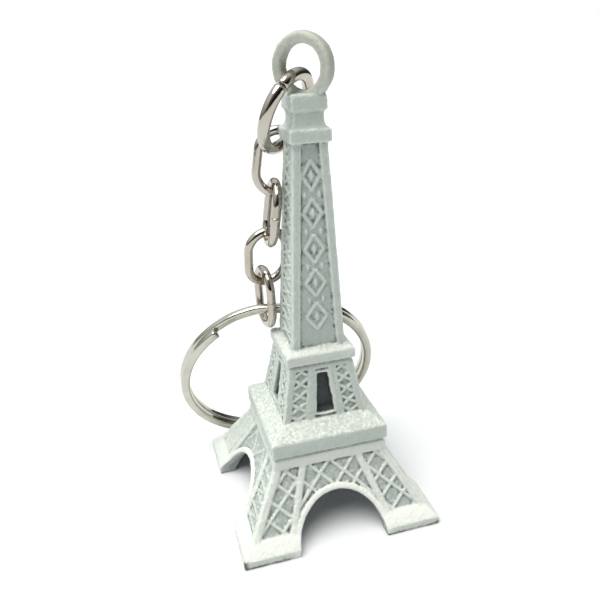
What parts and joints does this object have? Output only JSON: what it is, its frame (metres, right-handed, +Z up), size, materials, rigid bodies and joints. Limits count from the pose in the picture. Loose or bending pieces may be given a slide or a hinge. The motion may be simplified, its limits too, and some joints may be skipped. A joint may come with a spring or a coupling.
{
  "type": "tower keychain",
  "caption": "Miniature lattice tower in painted cast metal on four splayed feet, hung by an eye, a jump ring and a short chain of oval links from a two-turn split ring.",
  "frame": {"origin": "middle of the whole object's plan, on the surface the tower stands on", "axes": "+Z up along the tower, -Y out of the tower's front face, with the chain behind its back left corner"},
  "size_m": [0.0262, 0.025, 0.0527],
  "materials": {
    "painted_zinc": "thin soft-white satin paint over a rough zinc die casting",
    "bright_nickel": "bright nickel-plated steel wire"
  },
  "bodies": {
    "tower_casting": {"tower_casting": "painted_zinc"},
    "jump_ring": {"jump_ring": "bright_nickel"},
    "chain_link_1": {"chain_link_1": "bright_nickel"},
    "chain_link_2": {"chain_link_2": "bright_nickel"},
    "chain_link_3": {"chain_link_3": "bright_nickel"},
    "chain_link_4": {"chain_link_4": "bright_nickel"},
    "split_ring": {"split_ring": "bright_nickel"}
  },
  "joints": [
    {"name": "jump_ring_swing", "type": "hinge", "parent": "tower_casting", "child": "jump_ring", "pos_m": [0.00129, -0.00069, 0.04887], "axis": [0.6972, 0.7169, 0], "range_deg": [0, 180]},
    {"name": "link_1_swing", "type": "hinge", "parent": "jump_ring", "child": "chain_link_1", "pos_m": [-0.00076, 0.00131, 0.0417], "axis": [0.2419, 0.9703, 0], "range_deg": [0, 22]},
    {"name": "link_2_swing", "type": "hinge", "parent": "chain_link_1", "child": "chain_link_2", "pos_m": [-0.00104, 0.00184, 0.03694], "axis": [1, 0, 0], "range_deg": [0, 120]},
    {"name": "link_3_swing", "type": "hinge", "parent": "chain_link_2", "child": "chain_link_3", "pos_m": [-0.00199, 0.00155, 0.03184], "axis": [0.3584, 0.9336, 0], "range_deg": [0, 44]},
    {"name": "link_4_swing", "type": "hinge", "parent": "chain_link_3", "child": "chain_link_4", "pos_m": [-0.0021, 0.00331, 0.02643], "axis": [1, 0, 0], "range_deg": [0, 140]},
    {"name": "split_ring_swing", "type": "hinge", "parent": "chain_link_4", "child": "split_ring", "pos_m": [-0.00201, 0.00314, 0.02286], "axis": [1, 0, 0], "range_deg": [0, 150]}
  ]
}
